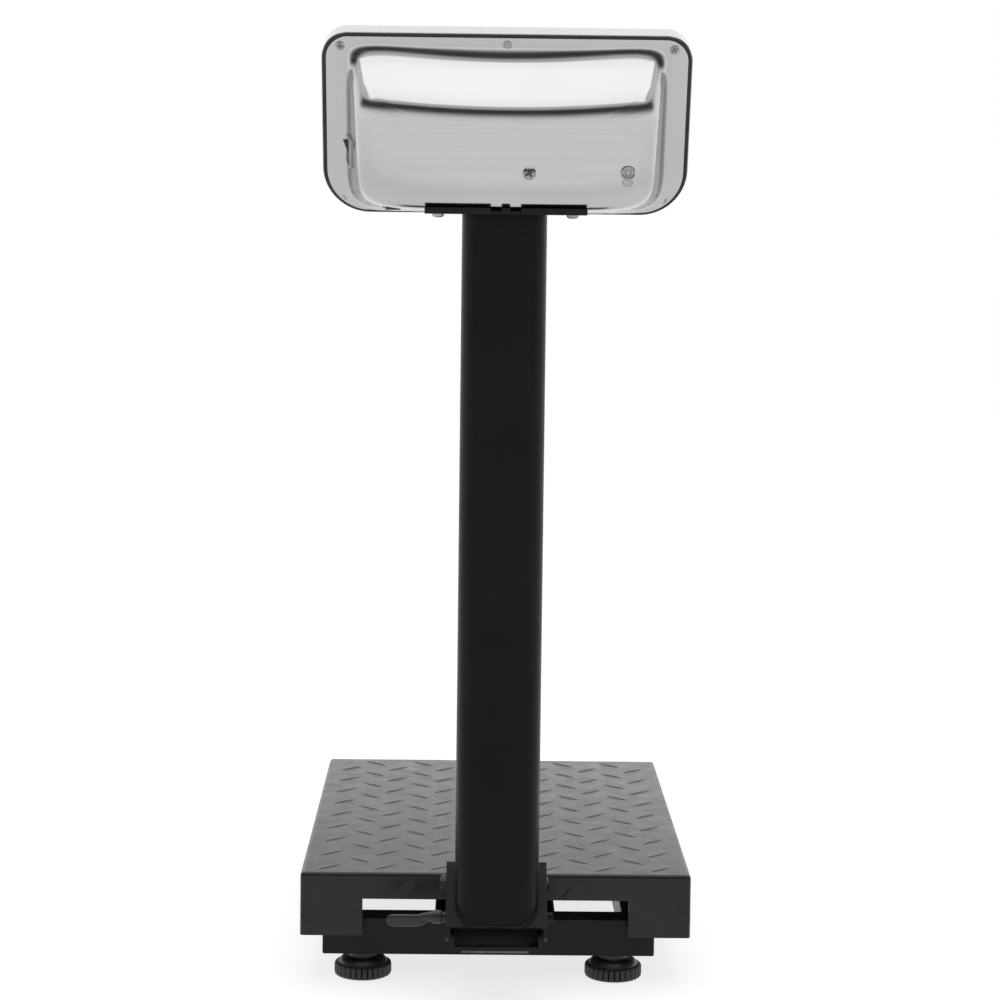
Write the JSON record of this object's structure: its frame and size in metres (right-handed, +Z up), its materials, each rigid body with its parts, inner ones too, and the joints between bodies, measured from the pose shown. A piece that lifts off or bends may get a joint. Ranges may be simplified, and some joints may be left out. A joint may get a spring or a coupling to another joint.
{
  "type": "platform shipping scale",
  "caption": "Free-standing folding platform scale: chequered steel deck on a low base with levelling feet, and a hinged column carrying a tilted stainless readout head.",
  "frame": {"origin": "on the floor, under the middle of the whole scale's bounding box", "axes": "+Z up, -Y towards the operator (the side with the display), +X to the operator's right as they face the scale"},
  "size_m": [0.3, 0.5274, 0.7221],
  "materials": {
    "powder_coat": "fine-textured black powder coat",
    "stainless": "satin polished stainless sheet",
    "zinc": "zinc-plated steel",
    "black_steel": "blackened steel",
    "rubber": "matt black rubber",
    "cable": "black cable jacket",
    "cell_alloy": "machined aluminium",
    "black_plastic": "moulded black plastic",
    "key_plastic": "fine-grained grey plastic",
    "board": "green circuit board",
    "window": "dark clear plastic",
    "lcd": "grey-green display glass",
    "battery_case": "battery case plastic"
  },
  "bodies": {
    "base": {"rear_beam": "powder_coat", "front_beam": "powder_coat", "left_rail": "powder_coat", "right_rail": "powder_coat", "load_cell_trough": "powder_coat", "load_cell": "cell_alloy", "load_cell_spacers": "zinc", "load_cell_bolts": "zinc", "upper_frame": "powder_coat", "cover_pads": "rubber", "platform_cover": "powder_coat", "overload_stops": "zinc", "foot_nuts": "zinc", "column_channel": "powder_coat", "channel_bolts": "zinc", "rear_beam_plate": "zinc", "pivot_bolt": "black_steel", "pivot_nut": "black_steel", "lock_nut": "zinc", "base_cable": "cable"},
    "lock": {"lock_stud": "zinc", "lock_lever": "powder_coat"},
    "foot_pad_1": {"foot_pad_1": "rubber"},
    "foot_wheel_1": {"foot_wheel_1": "black_plastic"},
    "foot_pad_2": {"foot_pad_2": "rubber"},
    "foot_wheel_2": {"foot_wheel_2": "black_plastic"},
    "foot_pad_3": {"foot_pad_3": "rubber"},
    "foot_wheel_3": {"foot_wheel_3": "black_plastic"},
    "foot_pad_4": {"foot_pad_4": "rubber"},
    "foot_wheel_4": {"foot_wheel_4": "black_plastic"},
    "column": {"column_tube": "powder_coat", "column_seat": "powder_coat", "head_bracket": "powder_coat", "bracket_screws": "zinc", "cable_grommet": "rubber", "column_cable": "cable", "head_rear_cover": "stainless", "rear_cover_screws": "zinc", "head_gasket": "rubber", "head_front_housing": "stainless", "display_window": "window", "lcd_module": "lcd", "main_board": "board", "keypad_panel": "board", "battery": "battery_case", "battery_clamp": "zinc", "switch_housing": "black_plastic", "charger_socket": "black_plastic", "clamp_screw": "zinc", "seal_screw": "zinc"},
    "rocker": {"power_rocker": "black_plastic"},
    "key_1": {"key_1": "key_plastic"},
    "key_2": {"key_2": "key_plastic"},
    "key_3": {"key_3": "key_plastic"},
    "key_4": {"key_4": "key_plastic"},
    "key_5": {"key_5": "key_plastic"},
    "key_6": {"key_6": "key_plastic"},
    "key_7": {"key_7": "key_plastic"},
    "key_8": {"key_8": "key_plastic"}
  },
  "joints": [
    {"name": "column_fold", "type": "hinge", "parent": "base", "child": "column", "pos_m": [0, 0.15725, 0.084], "axis": [1, 0, 0], "range_deg": [0, 90]},
    {"name": "lock_turn", "type": "hinge", "parent": "base", "child": "lock", "pos_m": [0, 0.18225, 0.0655], "axis": [1, 0, 0], "range_deg": [0, 180]},
    {"name": "foot_travel_1", "type": "slide", "parent": "base", "child": "foot_pad_1", "axis": [0, 0, 1], "range_m": [-0.01, 0]},
    {"name": "foot_turn_1", "type": "hinge", "parent": "foot_pad_1", "child": "foot_wheel_1", "pos_m": [0.1017, 0.11125, 0.01], "axis": [0, 0, 1], "range_deg": [0, 2880]},
    {"name": "foot_travel_2", "type": "slide", "parent": "base", "child": "foot_pad_2", "axis": [0, 0, 1], "range_m": [-0.01, 0]},
    {"name": "foot_turn_2", "type": "hinge", "parent": "foot_pad_2", "child": "foot_wheel_2", "pos_m": [-0.0917, 0.11125, 0.01], "axis": [0, 0, 1], "range_deg": [0, 2880]},
    {"name": "foot_travel_3", "type": "slide", "parent": "base", "child": "foot_pad_3", "axis": [0, 0, 1], "range_m": [-0.01, 0]},
    {"name": "foot_turn_3", "type": "hinge", "parent": "foot_pad_3", "child": "foot_wheel_3", "pos_m": [0.1017, -0.23875, 0.01], "axis": [0, 0, 1], "range_deg": [0, 2880]},
    {"name": "foot_travel_4", "type": "slide", "parent": "base", "child": "foot_pad_4", "axis": [0, 0, 1], "range_m": [-0.01, 0]},
    {"name": "foot_turn_4", "type": "hinge", "parent": "foot_pad_4", "child": "foot_wheel_4", "pos_m": [-0.0917, -0.23875, 0.01], "axis": [0, 0, 1], "range_deg": [0, 2880]},
    {"name": "power_rock", "type": "hinge", "parent": "column", "child": "rocker", "pos_m": [0.11021, 0.21719, 0.63104], "axis": [-0.1961, 0.9191, -0.3418], "range_deg": [-16, 0]},
    {"name": "key_press_1", "type": "slide", "parent": "column", "child": "key_1", "axis": [0, 0.9373, -0.3486], "range_m": [0, 0.0012], "stiffness_N_per_m": 250, "springref_m": -0.0004},
    {"name": "key_press_2", "type": "slide", "parent": "column", "child": "key_2", "axis": [0, 0.9373, -0.3486], "range_m": [0, 0.0012], "stiffness_N_per_m": 250, "springref_m": -0.0004},
    {"name": "key_press_3", "type": "slide", "parent": "column", "child": "key_3", "axis": [0, 0.9373, -0.3486], "range_m": [0, 0.0012], "stiffness_N_per_m": 250, "springref_m": -0.0004},
    {"name": "key_press_4", "type": "slide", "parent": "column", "child": "key_4", "axis": [0, 0.9373, -0.3486], "range_m": [0, 0.0012], "stiffness_N_per_m": 250, "springref_m": -0.0004},
    {"name": "key_press_5", "type": "slide", "parent": "column", "child": "key_5", "axis": [0, 0.9373, -0.3486], "range_m": [0, 0.0012], "stiffness_N_per_m": 250, "springref_m": -0.0004},
    {"name": "key_press_6", "type": "slide", "parent": "column", "child": "key_6", "axis": [0, 0.9373, -0.3486], "range_m": [0, 0.0012], "stiffness_N_per_m": 250, "springref_m": -0.0004},
    {"name": "key_press_7", "type": "slide", "parent": "column", "child": "key_7", "axis": [0, 0.9373, -0.3486], "range_m": [0, 0.0012], "stiffness_N_per_m": 250, "springref_m": -0.0004},
    {"name": "key_press_8", "type": "slide", "parent": "column", "child": "key_8", "axis": [0, 0.9373, -0.3486], "range_m": [0, 0.0012], "stiffness_N_per_m": 250, "springref_m": -0.0004}
  ],
  "couplings": [
    {"joint": "foot_travel_1", "follows": "foot_turn_1", "m_per_rad": -0.00019894},
    {"joint": "foot_travel_2", "follows": "foot_turn_2", "m_per_rad": -0.00019894},
    {"joint": "foot_travel_3", "follows": "foot_turn_3", "m_per_rad": -0.00019894},
    {"joint": "foot_travel_4", "follows": "foot_turn_4", "m_per_rad": -0.00019894}
  ]
}
